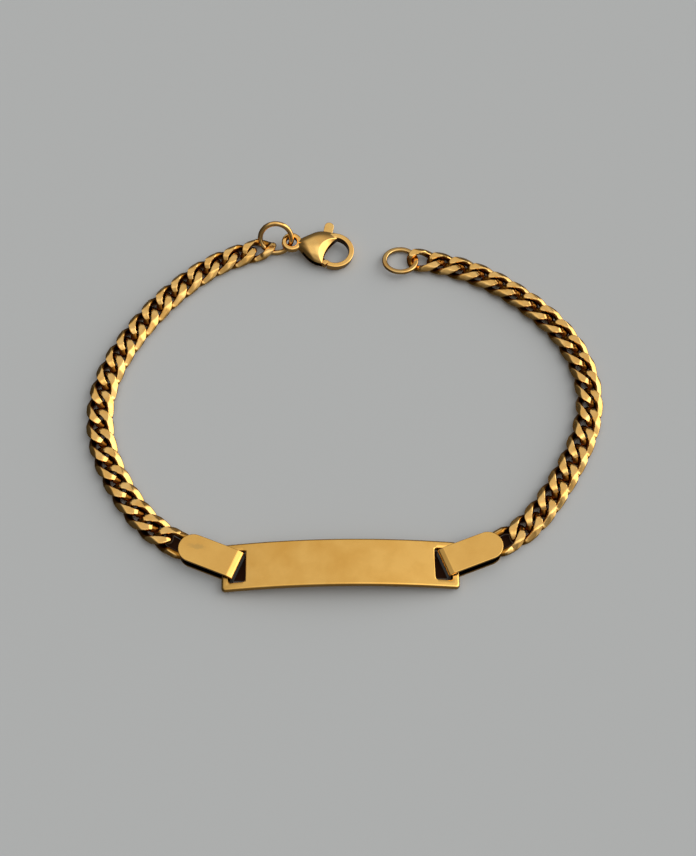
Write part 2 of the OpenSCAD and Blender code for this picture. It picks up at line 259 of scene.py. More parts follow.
# Wheel-polished plating: broad soft mottling and slightly bent reflections.
plate_polish = gold_finish("wheel_polished_plate", GOLD, "#EFB75C", 5.0, (0.16, 0.24), 6.0, 0.012)
# Polished folded strip: the same polish on a flatter, narrower strap.
strip_polish = gold_finish("polished_folded_strip", GOLD, "#F2BC64", 4.0, (0.14, 0.22), 4.0, 0.006)
# Bright wire of the two rings: small, clear reflections.
wire_polish = gold_finish("bright_ring_wire", "#FFD389", "#FFC672", 2.0, (0.05, 0.1), 1.5, 0.004)
# Tumbled casting of the clasp: smooth and a touch softer.
cast_polish = gold_finish("tumbled_casting", "#FFD07E", "#F9C06C", 3.0, (0.08, 0.14), 2.0, 0.006)
# Diamond-cut facets; the wire between them gets painted shade further down.
cut_polish = gold_finish("diamond_cut_links", "#FFD184", "#F8C06A", 1.6, (0.13, 0.2), 1.2, 0.004)
print("finishes:", [m.name for m in bpy.data.materials])

# %% [markdown]
# Deep between the links, between a tab's leaves and in the clasp's slot and holes
# the metal lies in shade, where one face of gold mirrors the next, which the eye
# reads as depth. That shade is painted: darker, browner tones are mixed into the
# colour by how deep or how hidden each point is, which the meshes carry.

# %% Painted shade in the depths
def darken(material, attribute, steps):
    """Mixes painted shade, as darker tones, into a finish where a point's attribute passes from one
    value to another.
    """
    tree = material.node_tree
    skin = tree.nodes["Principled BSDF"]
    measure = add_node(tree, "ShaderNodeAttribute", attribute_name=attribute).outputs["Fac"]
    colour = skin.inputs["Base Color"].links[0].from_socket
    for shade, start, end in steps:
        share = add_node(tree, "ShaderNodeMapRange", {
            "Value": measure, "From Min": start, "From Max": end}, interpolation_type="SMOOTHSTEP")
        colour = add_node(tree, "ShaderNodeMix", {
            MIX_FACTOR: share.outputs["Result"], MIX_A: colour, MIX_B: linear(shade)},
            data_type="RGBA").outputs[MIX_COLOUR]
    tree.links.new(colour, skin.inputs["Base Color"])


# Painted shade in the recesses. Depths are in millimetres below the chain's filed planes; "hidden" is 1
# on a face turned inwards
darken(cut_polish, "depth", [("#B47C2E", 0.06, 0.12), ("#6A3F12", 0.14, 0.5)])
darken(strip_polish, "hidden", [("#241305", 0.2, 0.9)])
darken(cast_polish, "hidden", [("#5A3812", 0.2, 0.9)])
print("darkened:", cut_polish.name, strip_polish.name, cast_polish.name)

# %% Smudge on the left tab
# A faint dull smudge, about 3 mm long, lies along the left tab's upper leaf
SMUDGE_AT, SMUDGE_SIZE, SMUDGE_COURSE = (-21.4, -25.2, 2.49), (1.8, 0.6, 1.0), -10
SMUDGE_TONE, SMUDGE_SHARE, SMUDGE_BLOT_MM = "#9C9468", 0.27, 0.6
tree = strip_polish.node_tree
skin = tree.nodes["Principled BSDF"]
place = add_node(tree, "ShaderNodeTexCoord").outputs["Object"]
near = add_node(tree, "ShaderNodeMapping", {
    "Vector": place, "Location": [v * MM for v in SMUDGE_AT], "Scale": [v * MM for v in SMUDGE_SIZE],
    "Rotation": (0, 0, np.radians(SMUDGE_COURSE))}, vector_type="TEXTURE").outputs["Vector"]
blot = add_node(tree, "ShaderNodeTexNoise", {
    "Vector": place, "Scale": per_metre(SMUDGE_BLOT_MM), "Detail": 2.0})
spread = add_node(tree, "ShaderNodeVectorMath", {0: near}, operation="LENGTH")
spread = add_node(tree, "ShaderNodeMath", {
    0: spread.outputs["Value"], 1: blot.outputs["Fac"]}, operation="ADD")
smudge = add_node(tree, "ShaderNodeMapRange", {
    "Value": spread.outputs["Value"], "From Min": 0.7, "From Max": 1.4,
    "To Min": SMUDGE_SHARE, "To Max": 0.0}, interpolation_type="SMOOTHSTEP")
colour = add_node(tree, "ShaderNodeMix", {
    MIX_FACTOR: smudge.outputs["Result"], MIX_A: skin.inputs["Base Color"].links[0].from_socket,
    MIX_B: linear(SMUDGE_TONE)}, data_type="RGBA").outputs[MIX_COLOUR]
tree.links.new(colour, skin.inputs["Base Color"])
print("smudge on", strip_polish.name)

# %% [markdown]
# ## Curb chain
#
# A curb link is an oval of round wire whose two ends are twisted apart, so that
# the links lie flat inside one another. The finished chain is then filed: flat
# above and below, upright along the sides, with a slope between, and a last cut
# on the shoulder where the wire starts down into the next link. The file leaves
# the long bright facets that the eye reads as a curb chain.
#
# The links could be cut with booleans, but the skin is quicker worked out: from
# the wire's middle, each direction reaches to the wire's radius or to the
# nearest filed plane. Where the answer changes from one to the other there is a
# crisp edge, and the nearest column of the grid is moved onto it. Each point
# also keeps its depth below the planes, which sets its painted shade.

# %% Sizes of the chain
CHAIN_LINKS = 21
CHAIN_W, CHAIN_H = 4.1, 1.72
BEVEL_W, BEVEL_H = 0.7, 0.6
CAD_WIRE_D, LINK_PLAY = 1.06, 0.21
# The wire is drawn so thick that neighbours touch, as they do in the photograph. Where an end
# lies low inside the next link it is thicker and longer, so that little floor shows between
# the links, and where it comes up to the filed faces it is thinner
WIRE_R, END_SWELL, END_STRETCH, LOW_STRETCH = 0.6, 0.13, 0.1, 0.8
LINK_TWIST = 50
END_FULLNESS = 0.8
LAST_LINK_EXTRA = 0.5
LOOP_STEPS, WIRE_STEPS = 72, 48
# Each facet falls away a little from its middle, which lies this far from the link's own
FACET_CROWN, FACET_MIDDLE = 0.05, 1.3
# Width over which two cuts blend into each other
CUT_BLEND = 0.07


# %% Middle line of a link
def outer_end(c, place):
    """True on a half link that no other link goes through: the first one's near half and the
    last one's far half."""
    return ((place == "first") & (c < 0)) | ((place == "last") & (c > 0))


def open_end(c, place):
    """True on those halves and on the next ones, which are seen inside them."""
    return outer_end(c, place) | ((place == "second") & (c < 0)) | ((place == "last but one") & (c > 0))


def link_middle(t, pitch, place):
    """The oval at angle t: its half length times a flattened cosine, and its half width times the
    sine, turned about the chain's line by the twist times that cosine. The last link's far half
    is longer and not turned."""
    c = np.sign(np.cos(t)) * np.abs(np.cos(t)) ** END_FULLNESS
    far = (place == "last") & (c > 0)
    turn = np.radians(np.where(far, 0, LINK_TWIST * c))
    half_w = CHAIN_W / 2 - CAD_WIRE_D / 2
    height = -half_w * np.sin(t) * np.sin(turn)
    inner_reach = END_STRETCH + LOW_STRETCH * np.clip(-2 * height, 0, 1) * c ** 2
    half_l = (pitch + CAD_WIRE_D + LINK_PLAY) / 2 + np.where(
        far, LAST_LINK_EXTRA, np.where(open_end(c, place), 0, inner_reach))
    return np.stack([half_l * c, half_w * np.sin(t) * np.cos(turn), height], -1)


def run_along(line):
    """Distance run along a line of points, from 0 at its first."""
    return np.concatenate([[0], np.cumsum(np.linalg.norm(np.diff(line, axis=0), axis=1))])


def even_angles(pitch, place, steps):
    """Angles at which the middle line has run equal distances."""
    t = np.linspace(0, 2 * np.pi, 4001)
    run = run_along(link_middle(t, pitch, place))
    return np.interp((np.arange(steps) + 0.5) / steps * run[-1], run, t)


# %% Filed skin of a link
bevel_normal = np.array([BEVEL_H, BEVEL_W]) / np.hypot(BEVEL_H, BEVEL_W)
bevel_reach = bevel_normal @ [CHAIN_W / 2, CHAIN_H / 2 - BEVEL_H]
# The last cut takes the wire's shoulder where it starts down into the next link. It is less deep
# past its end, and on an outer end it draws back by this much and so takes nothing there
SHOULDER_NORMAL, SHOULDER_REACH, SHOULDER_END = np.array([0.36, 0.46, 0.81]), (1.08, 1.34), 0.9
OUTER_DRAWBACK = 2.0
LEAST_ROOM = 0.05
# The first link's outer half, inside its ring, gets only this share of the painted shade and stays
# bright
OUTER_END_SHADE_SHARE = 0.3
FILED_NORMALS = np.array(
    [[0, 0, s] for s in (-1, 1)] + [[0, s, 0] for s in (-1, 1)]
    + [[0, a * bevel_normal[0], b * bevel_normal[1]] for a in (-1, 1) for b in (-1, 1)]
    + [SHOULDER_NORMAL, SHOULDER_NORMAL * [1, -1, -1]])


def filed_room(middle, outer):
    """Distance from each point of the wire's middle to each filed plane. The shoulder's plane
    draws back where the wire has already gone down, and by how far out on an outer end it is,
    from 0 to 1."""
    x, y, _ = middle.T
    flat = CHAIN_H / 2 - FACET_CROWN * (np.abs(x) - FACET_MIDDLE) ** 2
    sides = [np.full_like(x, r) for r in [CHAIN_W / 2] * 2 + [bevel_reach] * 4]
    near_reach = SHOULDER_REACH[0] + np.clip(x - SHOULDER_END, 0, 1)
    shoulders = [np.where(y * level > 0, near_reach, SHOULDER_REACH[1]) + OUTER_DRAWBACK * outer
                 for level in (1, -1)]
    reach = np.stack([flat, flat, *sides, *shoulders], -1)
    return np.maximum(reach - middle @ FILED_NORMALS.T, LEAST_ROOM)


def skin_reach(wire, angle):
    """Distance from the wire's middle to its skin in the direction at this angle round it,
    whether a filed plane is met there, and that direction. The planes' distances are blended by
    the logarithm of their summed exponentials, so that two cuts meet in a narrow round."""
    side, up, room, wire_r = wire
    way = np.cos(angle)[..., None] * side[:, None] + np.sin(angle)[..., None] * up[:, None]
    slope = way @ FILED_NORMALS.T
    plane = np.where(slope > 0.01, room[:, None] / np.maximum(slope, 0.01), 99)
    nearest = plane.min(-1)
    filed = nearest - CUT_BLEND * np.log(np.exp((nearest[..., None] - plane) / CUT_BLEND).sum(-1))
    return np.minimum(filed, wire_r[:, None]), filed < wire_r[:, None], way


# %% Grid of a link
def link_grid(pitch, place):
    """One link's points, row by row along the loop and column by column round the wire, and each
    point's depth below the filed planes."""
    t = even_angles(pitch, place, LOOP_STEPS)
    middle = link_middle(t, pitch, place)
    ahead = link_middle(t + 0.01, pitch, place) - link_middle(t - 0.01, pitch, place)
    ahead /= np.linalg.norm(ahead, axis=1)[:, None]
    side = np.cross([0, 0, 1], ahead)
    side /= np.linalg.norm(side, axis=1)[:, None]
    up = np.cross(ahead, side)
    uncut = outer_end(np.cos(t), place)
    # The swell follows the height: full where the wire lies low, and below zero where it is up
    swell = END_SWELL * np.cos(t) ** 2 * np.clip(-2 * middle[:, 2], -0.6, 1.3)
    swell = np.where(open_end(np.cos(t), place), np.minimum(swell, 0), swell)
    # An outer end thins to the CAD wire, to fit its ring or tab
    wire_r = WIRE_R + np.where(uncut, (CAD_WIRE_D / 2 - WIRE_R) * np.abs(np.cos(t)), swell)
    wire = side, up, filed_room(middle, uncut * np.abs(np.cos(t))), wire_r
    step = 2 * np.pi / WIRE_STEPS
    angle = np.broadcast_to((np.arange(WIRE_STEPS) + 0.5) * step, (LOOP_STEPS, WIRE_STEPS)).copy()
    met = skin_reach(wire, angle)[1]
    # Halve the step again and again towards the angle where the skin changes over
    low, high = angle.copy(), angle + step
    for _ in range(14):
        between = (low + high) / 2
        same = skin_reach(wire, between)[1] == met
        low, high = np.where(same, between, low), np.where(same, high, between)
    changes = met != np.roll(met, -1, axis=1)
    nearer_first = changes & (low - angle < step / 2)
    nearer_next = np.roll(changes & ~nearer_first, 1, axis=1)
    corner_from_before = np.roll(low, 1, axis=1) - np.where(np.arange(WIRE_STEPS) == 0, 2 * np.pi, 0)
    angle = np.where(nearer_first, low, np.where(nearer_next, corner_from_before, angle))
    reach, _, way = skin_reach(wire, angle)
    points = middle[:, None] + reach[..., None] * way
    # Depth below the planes sets the painted shade; the first link's outer half gets a smaller share of
    # it
    depth = np.maximum((wire[2][:, None] - reach[..., None] * (way @ FILED_NORMALS.T)).min(-1), 0)
    return points, depth * np.where(uncut & (place == "first"), OUTER_END_SHADE_SHARE, 1)[:, None]


# %% [markdown]
# The links share a smooth route evenly. The route's few points are the CAD
# source's own, and the curve through them is the same one, so each link lies
# where its solid does. Each link also gets a tilt of about a degree, because
# loose links never lie quite alike, and their facets then catch the light
# differently.

# %% Places of the links
LEFT_ROUTE = [[-13.5, 27.3], [-19, 25.2], [-24, 21.8], [-29, 16.7], [-33.3, 10.4],
              [-36.2, 3.9], [-37.1, -2.5], [-36, -9], [-33, -15.4], [-28.9, -20.9]]
RIGHT_ROUTE = [[13, 24.6], [18.4, 23.2], [24.4, 20.1], [30.2, 15.2], [34.4, 9.8],
               [36.7, 3.6], [36.9, -2.6], [35, -8.8], [31.2, -15.6], [26.8, -21.4]]
CURVE_STEPS = 10
LAST_LINK_Z = 0.98
LOOSENESS = 0.9


def smooth_route(points):
    """Catmull-Rom curve: each span is a cubic through its two points, with slopes from their
    neighbours."""
    p = np.array(points, float)
    p = np.vstack([2 * p[0] - p[1], p, 2 * p[-1] - p[-2]])
    a, b, c, d = (p[i:len(p) - 3 + i, None] for i in range(4))
    u = (np.arange(CURVE_STEPS) / CURVE_STEPS)[None, :, None]
    spans = 0.5 * (2 * b + (c - a) * u + (2 * a - 5 * b + 4 * c - d) * u ** 2
                   + (3 * b - a - 3 * c + d) * u ** 3)
    return np.vstack([spans.reshape(-1, 2), p[-2]])


def link_places(route):
    """Points that share the route's length evenly, and the distance between two."""
    q = smooth_route(route)
    run = run_along(q)
    at = np.linspace(0, run[-1], CHAIN_LINKS)
    places = np.stack([np.interp(at, run, q[:, 0]), np.interp(at, run, q[:, 1])], -1)
    return places, np.linalg.norm(places[1] - places[0])


def turned(degrees, axis):
    """Rotation matrix about one axis."""
    return np.array(Matrix.Rotation(np.radians(degrees), 3, axis))


def towards(degrees):
    """Direction in the plane at this angle."""
    return np.array([np.cos(np.radians(degrees)), np.sin(np.radians(degrees))])


def chain_shells(route, last_course, first_roll, first_lift, seed):
    """Every link of one half of the chain, as one list of points, faces and depths."""
    places, pitch = link_places(route)
    ahead = np.roll(places, -1, axis=0) - np.roll(places, 1, axis=0)
    ahead[0], ahead[-1] = places[1] - places[0], places[-1] - places[-2]
    course = np.degrees(np.arctan2(ahead[:, 1], ahead[:, 0]))
    course[-1] = last_course
    rise = np.zeros(CHAIN_LINKS)
    last_lift = LAST_LINK_Z - CHAIN_H / 2
    rise[[0, 1, -2, -1]] = first_lift, first_lift / 2, last_lift / 2, last_lift
    tilt = np.random.default_rng(seed).normal(0, LOOSENESS, (CHAIN_LINKS, 2))
    tilt[[0, -1]] = 0
    tilt[0, 0] = first_roll
    places_by_link = {0: "first", 1: "second", CHAIN_LINKS - 2: "last but one", CHAIN_LINKS - 1: "last"}
    kinds = {place: link_grid(pitch, place) for place in ("plain", *places_by_link.values())}
    faces = grid_faces(LOOP_STEPS, WIRE_STEPS, True, True)
    points, depths, every = [], [], []
    for k in range(CHAIN_LINKS):
        grid, depth = kinds[places_by_link.get(k, "plain")]
        turn = turned(course[k], "Z") @ turned(tilt[k, 1], "Y") @ turned(tilt[k, 0], "X")
        points.append(grid.reshape(-1, 3) @ turn.T + [*places[k], CHAIN_H / 2 + rise[k]])
        depths.append(depth.ravel())
        every.append(faces + k * LOOP_STEPS * WIRE_STEPS)
    return np.concatenate(points), np.concatenate(every).tolist(), np.concatenate(depths)


# %% [markdown]
# ## Folded tabs
#
# Each tab is one flat strap with round ends, folded round the plate's end bar:
# the lower leaf lies on the table, the bend stands in the slot, a short sloping
# strip runs up from it, and the upper leaf is level. It is built as it is made.
# The flat strap is a closed shell with rounded edges, and folding carries each
# of its points along a side path that goes straight, turns and goes straight.

# %% Sizes of the plate and tabs
PLATE_L, PLATE_T, PLATE_RISE, PLATE_W = 33.6, 0.9, 1.9, 6.984
PLATE_CORNER_R, PLATE_EDGE_R, PLATE_CLEAR = 0.6, 0.28, 0.05
PLATE_AT = np.array([-1.1, -28.1])
SLOT_L, SLOT_W, SLOT_R, SLOT_X = 2.40, 4.684, 0.4, 14.6
TAB_L, TAB_W, SHEET_T, TAB_H = 9.1, 4.2, 0.4, 2.487
FOLD_ANGLE, FOLD_DROP = 21.25, 0.35
TAB_EDGE_R = 0.09
POST_D, POST_IN = 0.7, 0.7
LEFT_BEND, LEFT_TURN = -15.552, 157.2
RIGHT_BEND, RIGHT_TURN = 13.43, 20.7
LAST_GRIP = 1.795
RIM_STEPS = 5


# %% Shell of a flat sheet
def sheet_shell(outline, spine, half_t, rim_r):
    """Points of a flat sheet as (along, across, up): each column starts on the middle line above,
    runs out over the face, goes round the rim as a quarter circle, down and back underneath."""
    ahead = np.roll(outline, -1, axis=0) - np.roll(outline, 1, axis=0)
    outwards = np.stack([ahead[:, 1], -ahead[:, 0]], -1) / np.linalg.norm(ahead, axis=1)[:, None]
    turn = np.radians(np.linspace(90, 0, RIM_STEPS + 1))
    shares = np.array([0, 0.25, 0.5, 0.75, 0.9, 0.97])
    edge = outline - rim_r * outwards
    face = spine[:, None] + shares[:, None] * (edge - spine)[:, None]
    rim = edge[:, None] + rim_r * np.cos(turn)[:, None] * outwards[:, None]
    plan = np.concatenate([face, rim], 1)
    up = np.concatenate([np.full(len(shares), half_t), half_t - rim_r + rim_r * np.sin(turn)])
    plan = np.concatenate([plan, plan[:, ::-1]], 1)
    up = np.broadcast_to(np.concatenate([up, -up[::-1]]), plan.shape[:2])
    return np.concatenate([plan, up[..., None]], -1)


def stadium(length, width, along, end_steps):
    """Outline of a flat strap with round ends, and the matching points of its middle line."""
    r = width / 2
    arc = np.radians(np.linspace(-90, 90, end_steps + 1)[1:-1])
    far = np.stack([length - r + r * np.cos(arc), r * np.sin(arc)], -1)
    near = np.stack([r - r * np.cos(arc), -r * np.sin(arc)], -1)
    right = np.stack([along, np.full_like(along, -r)], -1)
    left = np.stack([along[::-1], np.full_like(along, r)], -1)
    outline = np.concatenate([right, far, left, near])
    return outline, np.stack([np.clip(outline[:, 0], r, length - r), np.zeros(len(outline))], -1)


# %% Folding the strap
def side_path():
    """The strap's middle seen from the side: it starts at the lower leaf's round end, goes to the
    bend, up, along the sloping strip and back level. Distances along it, X, Z and heading there,
    and the distance at which each straight or bent stretch ends."""
    corner_r, upper_r, crease_r = 0.3, 0.21, 0.3
    half_t, slope = SHEET_T / 2, np.tan(np.radians(FOLD_ANGLE))
    lower = np.array([half_t, half_t])
    strip_at_0 = TAB_H - FOLD_DROP - half_t / np.cos(np.radians(FOLD_ANGLE))
    upper = np.array([half_t, strip_at_0 + slope * half_t])
    crease = np.array([(TAB_H - half_t - strip_at_0) / slope, TAB_H - half_t])
    cut = [corner_r, upper_r * np.tan(np.radians(90 - FOLD_ANGLE) / 2),
           crease_r * np.tan(np.radians(FOLD_ANGLE) / 2)]
    lengths = [TAB_L - lower[0] - cut[0], corner_r * np.pi / 2,
               upper[1] - lower[1] - cut[0] - cut[1], upper_r * np.radians(90 - FOLD_ANGLE),
               np.linalg.norm(crease - upper) - cut[1] - cut[2], crease_r * np.radians(FOLD_ANGLE),
               TAB_L - crease[0] - cut[2]]
    run = np.concatenate([[0], np.cumsum(lengths)])
    heading = np.array([180, 180, 90, 90, FOLD_ANGLE, FOLD_ANGLE, 0, 0])
    s = np.linspace(0, run[-1], 8001)
    way = np.radians(np.interp(s, run, heading))
    step = s[1] - s[0]
    x = TAB_L + np.concatenate([[0], np.cumsum(np.cos((way[1:] + way[:-1]) / 2)) * step])
    z = half_t + np.concatenate([[0], np.cumsum(np.sin((way[1:] + way[:-1]) / 2)) * step])
    return s, x, z, way, run


def fold(flat):
    """Carries (along, across, up) points round the side path."""
    s, x, z, way, _ = side_path()
    along, across, up = flat[..., 0], flat[..., 1], flat[..., 2]
    heading = np.interp(along, s, way)
    return np.stack([np.interp(along, s, x) - up * np.sin(heading), across,
                     np.interp(along, s, z) + up * np.cos(heading)], -1)


def tab_shell():
    """A folded strap and its hidden post, with the bend at X = 0, and 1 for each point
    between the leaves or on the bend's upright wall in the slot, which get painted shade."""
    run = side_path()[4]
    length, r = run[-1], TAB_W / 2
    along = np.unique(np.concatenate([np.linspace(r, run[1], 10), np.linspace(run[1], run[6], 60),
                                      np.linspace(run[6], length - r, 10)]))
    outline, spine = stadium(length, TAB_W, along, 28)
    flat = sheet_shell(outline, spine, SHEET_T / 2, TAB_EDGE_R)
    strap = shell(fold(flat), True, False)
    circle = round_section(POST_D / 2, 24) + [TAB_L - POST_IN, 0]
    post = prism(circle, SHEET_T / 2, TAB_H - SHEET_T / 2)
    inward = flat[..., 2] < 0.02 - SHEET_T / 2
    in_slot = (flat[..., 0] > run[1]) & (flat[..., 0] < run[3])
    hidden = np.concatenate([(inward | in_slot).ravel(), np.ones(2 * len(circle))])
    return (*joined([strap, shell(post, caps=True)]), hidden)


def add_tab(node, bend_x, turn):
    """A tab in its place beside the plate."""
    points, faces, hidden = tab_shell()
    placed = points @ turned(turn, "Z").T + [bend_x, PLATE_AT[1], 0]
    piece = add_object(node + "_strap", placed, faces, {"hidden": hidden})
    finish_piece(piece, strip_polish, "bracelet", [node])


add_tab("tab_left", LEFT_BEND, LEFT_TURN)
add_tab("tab_right", RIGHT_BEND, RIGHT_TURN)


# %% [markdown]
# ## Name plate
#
# The plate is stamped from sheet, arched and polished, so its edges are round
# and no face is quite flat. It is the same kind of sheet shell, laid along the
# arch. The slots are stamped through it: a cutter with rounded corners that
# opens a little at the top leaves the soft rim that polishing gives.

# %% Name plate
def rounded_loop(length, width, r, along_steps, across_steps, corner_steps=8):
    """Outline of a rectangle with rounded corners, anticlockwise from its lower left side."""
    half_l, half_w = length / 2, width / 2
    x, y = half_l - r, half_w - r
    sides = [np.linspace([-x, -half_w], [x, -half_w], along_steps),
             np.linspace([half_l, -y], [half_l, y], across_steps),
             np.linspace([x, half_w], [-x, half_w], along_steps),
             np.linspace([-half_l, y], [-half_l, -y], across_steps)]
    middles = [[x, -y], [x, y], [-x, y], [-x, -y]]
    pieces = []
    for k in range(4):
        arc = np.radians(np.linspace(-90, 0, corner_steps + 1)[1:-1] + 90 * k)
        pieces += [sides[k], middles[k] + r * np.stack([np.cos(arc), np.sin(arc)], -1)]
    return np.concatenate(pieces)


ARCH_R = ((PLATE_L / 2) ** 2 + PLATE_RISE ** 2) / (2 * PLATE_RISE)
PLATE_TOP = SHEET_T + PLATE_CLEAR + PLATE_T / np.sqrt(1 - (PLATE_L / 2 / ARCH_R) ** 2) + PLATE_RISE


def arch(x, share):
    """Height of the arched sheet at x: share 1 is its upper and share -1 its lower face, each a
    circle about the same middle."""
    top = np.sqrt(ARCH_R ** 2 - x ** 2)
    foot = np.sqrt((ARCH_R - PLATE_T) ** 2 - x ** 2)
    return PLATE_TOP - ARCH_R + (top + foot) / 2 + share * (top - foot) / 2


# Height above the plate's upper face, and how far the slot's rim has opened there
SLOT_FLARE = ((-3, 0), (-0.2, 0), (-0.1, 0.02), (-0.03, 0.07), (0.05, 0.2), (0.6, 1))


def slot_cutter(x_mid):
    """A rounded post that opens outwards as it passes the plate's upper face."""
    loop = rounded_loop(SLOT_L, SLOT_W, SLOT_R, 8, 12)
    outwards = loop / np.linalg.norm(loop, axis=1)[:, None]
    rows = []
    for above, flare in SLOT_FLARE:
        plan = loop + flare * outwards + [x_mid, 0]
        rows.append(np.column_stack([plan, arch(plan[:, 0], 1) + above]))
    points, faces = shell(np.stack(rows), caps=True)
    return add_object("slot_cutter", points, faces)


outline = rounded_loop(PLATE_L, PLATE_W, PLATE_CORNER_R, 100, 14)
half_spine = (PLATE_L - PLATE_W) / 2
spine = np.stack([np.clip(outline[:, 0], -half_spine, half_spine), np.zeros(len(outline))], -1)
flat = sheet_shell(outline, spine, PLATE_T / 2, PLATE_EDGE_R)
bent = np.stack([flat[..., 0], flat[..., 1], arch(flat[..., 0], flat[..., 2] / (PLATE_T / 2))], -1)
plate = add_object("id_plate_polished", *shell(bent, True, False))
for x_mid in (-SLOT_X, SLOT_X):
    carve(plate, slot_cutter(x_mid))
plate.data.transform(Matrix.Translation((*PLATE_AT, 0)))
finish_piece(plate, plate_polish, "bracelet", ["id_plate"], sharp=40)

# %% Both halves of the chain
LEFT_COURSE, RIGHT_COURSE = -30, 210
# The right half's first link is rolled and lifted a little by the ring's rim under it
RIGHT_ROLL, RIGHT_LIFT = 4, 0.09
LEFT_SEED, RIGHT_SEED = 5, 9


def chain_end(bend_x, turn, course):
    """Place of the last link: round the tab's post, pulled along its own course."""
    post = np.array([bend_x, PLATE_AT[1]]) + (TAB_L - POST_IN) * towards(turn)
    return post + LAST_GRIP * towards(course + 180)


def add_chain(node, route, end, last_course, first_roll, first_lift, seed):
    """One half of the chain as a single joined piece."""
    route = [*route, end.tolist()]
    points, faces, depths = chain_shells(route, last_course, first_roll, first_lift, seed)
    piece = add_object(node + "_links", points, faces, {"depth": depths}, merge=1e-6)
    finish_piece(piece, cut_polish, "bracelet", [node], sharp=32)


left_end = chain_end(LEFT_BEND, LEFT_TURN, LEFT_COURSE)
right_end = chain_end(RIGHT_BEND, RIGHT_TURN, RIGHT_COURSE)
add_chain("chain_left", LEFT_ROUTE, left_end, LEFT_COURSE, 0, 0, LEFT_SEED)
add_chain("chain_right", RIGHT_ROUTE, right_end, RIGHT_COURSE, RIGHT_ROLL, RIGHT_LIFT, RIGHT_SEED)


# %% [markdown]
# ## Rings
#
# The jump ring is round wire bent to a circle, and the end ring is a flatter
# stamped rim. Both are a section carried round a circle. A Torus primitive
# would give the first, but the second needs its own section.

# %% Rings
RING_STEPS = 128
# Radius to the middle of the section, size of the section, lean about X and place
JUMP_R, JUMP_WIRE_R, JUMP_LEAN, JUMP_AT = 2.52, 0.41, 60, [-10.8, 28.25, 2.55]
END_R, END_RIM_W, END_RIM_H, END_RIM_R = 2.53, 0.78, 0.6, 0.2
END_LEAN, END_AT = -10, [9.19, 24.69, 0.97]


def hoop(radius, section):
    """A section, given as (outwards, up), carried round a circle."""
    turn = np.linspace(0, 2 * np.pi, RING_STEPS, endpoint=False)[:, None]
    out = radius + section[:, 0][None]
    up = np.broadcast_to(section[:, 1], (RING_STEPS, len(section)))
    return np.stack([out * np.cos(turn), out * np.sin(turn), up], -1)


def add_ring(name, node, radius, section, lean, place):
    """A ring leaned about X and put in its place."""
    points, faces = shell(hoop(radius, section), True, True)
    piece = add_object(name, points @ turned(lean, "X").T + place, faces)
    finish_piece(piece, wire_polish, "bracelet", [node], sharp=60)


end_rim = rounded_loop(END_RIM_W, END_RIM_H, END_RIM_R, 5, 4, 6)
add_ring("jump_ring_wire", "jump_ring", JUMP_R, round_section(JUMP_WIRE_R), JUMP_LEAN, JUMP_AT)
add_ring("end_ring_rim", "end_ring", END_R, end_rim, END_LEAN, END_AT)

# %% [markdown]
# ## Lobster clasp
#
# The clasp is one small casting: a pear-shaped body with an eye at its neck and
# a flat-topped hook. The body's front is cut by a wide circle and bevelled, and a
# slot runs through it for the lever. Casting and tumbling leave no sharp edge,
# so the closed shells are joined by a voxel remesh and then smoothed a little.

# %% Sizes of the clasp
CLASP_AT, CLASP_TURNS = [-8.28, 27.83, 1.9], (6, 5.5, -11.9)
REACH, HOOK_R, HOOK_BAND, HOOK_H, CLASP_H = 7.1, 3.1, 0.84, 1.45, 2.8
EYE_R, EYE_BAND, EYE_H, EYE_ROUND = 1.23, 0.76, 1.05, 0.26
PIVOT, HUB_R = np.array([3.4, 0.0]), 1.1
SLOT_HALF_H = 0.45
NOSE_AT, NOSE_R, NOSE_EDGE, NOSE_SLOPE = np.array([11.75, -1.86]), 6.2, 0.555, 38
# The hook runs from inside the body, past its root, round to its tip
TIP_ANGLE, ROOT_ANGLE, ROOT_INSIDE = -104, 122, 26
HOOK_ROUND, HOOK_DRAFT = 0.14, 0.16
# Distance from the pivot at which the lever's arm comes out of the body and grows thick
GATE_START = 3.45
# Size of the remesh's cells, fine enough to keep the casting's grooves
VOXEL = 0.05
# Distance from the eye as a share of the reach, half width as a share of the hook's radius,
# half height as a share of half the body's height
PEAR = np.array([[0.125, 0.2, 0.28], [0.2, 0.34, 0.5], [0.3, 0.52, 0.74], [0.42, 0.73, 0.93],
                 [0.54, 0.89, 1], [0.66, 0.97, 0.98], [0.78, 1, 0.88], [0.9, 1, 0.72], [1, 0.97, 0.55]])
FAR_FULLNESS = 1.08

clasp_turn = turned(CLASP_TURNS[2], "Z") @ turned(CLASP_TURNS[1], "Y") @ turned(CLASP_TURNS[0], "X")


# %% Pear, hook and eye
def pear_grid(rows=60, sides=72):
    """Ovals whose half width and half height follow the table smoothly along the reach."""
    fine = smooth_columns(PEAR, rows)
    turn = np.linspace(0, 2 * np.pi, sides, endpoint=False)
    wide = np.where(np.cos(turn) > 0, FAR_FULLNESS, 1) * np.cos(turn)
    x = np.broadcast_to(fine[:, :1] * REACH, (rows, sides))
    return np.stack([x, fine[:, 1:2] * HOOK_R * wide, fine[:, 2:3] * CLASP_H / 2 * np.sin(turn)], -1)


def smooth_columns(table, rows):
    """The table's other columns as smooth curves over its first: on each span a Hermite cubic
    through both ends, with the table's own slopes there, u being the share of the span."""
    at = np.linspace(table[0, 0], table[-1, 0], rows)
    slopes = np.gradient(table[:, 1:], table[:, 0], axis=0)
    k = np.clip(np.searchsorted(table[:, 0], at, side="right") - 1, 0, len(table) - 2)
    width = (table[k + 1, 0] - table[k, 0])[:, None]
    u = (at - table[k, 0])[:, None] / width
    a, b = table[k, 1:], table[k + 1, 1:]
    values = ((2 * u ** 3 - 3 * u ** 2 + 1) * a + (u ** 3 - 2 * u ** 2 + u) * width * slopes[k]
              + (3 * u ** 2 - 2 * u ** 3) * b + (u ** 3 - u ** 2) * width * slopes[k + 1])
    return np.column_stack([at, values])


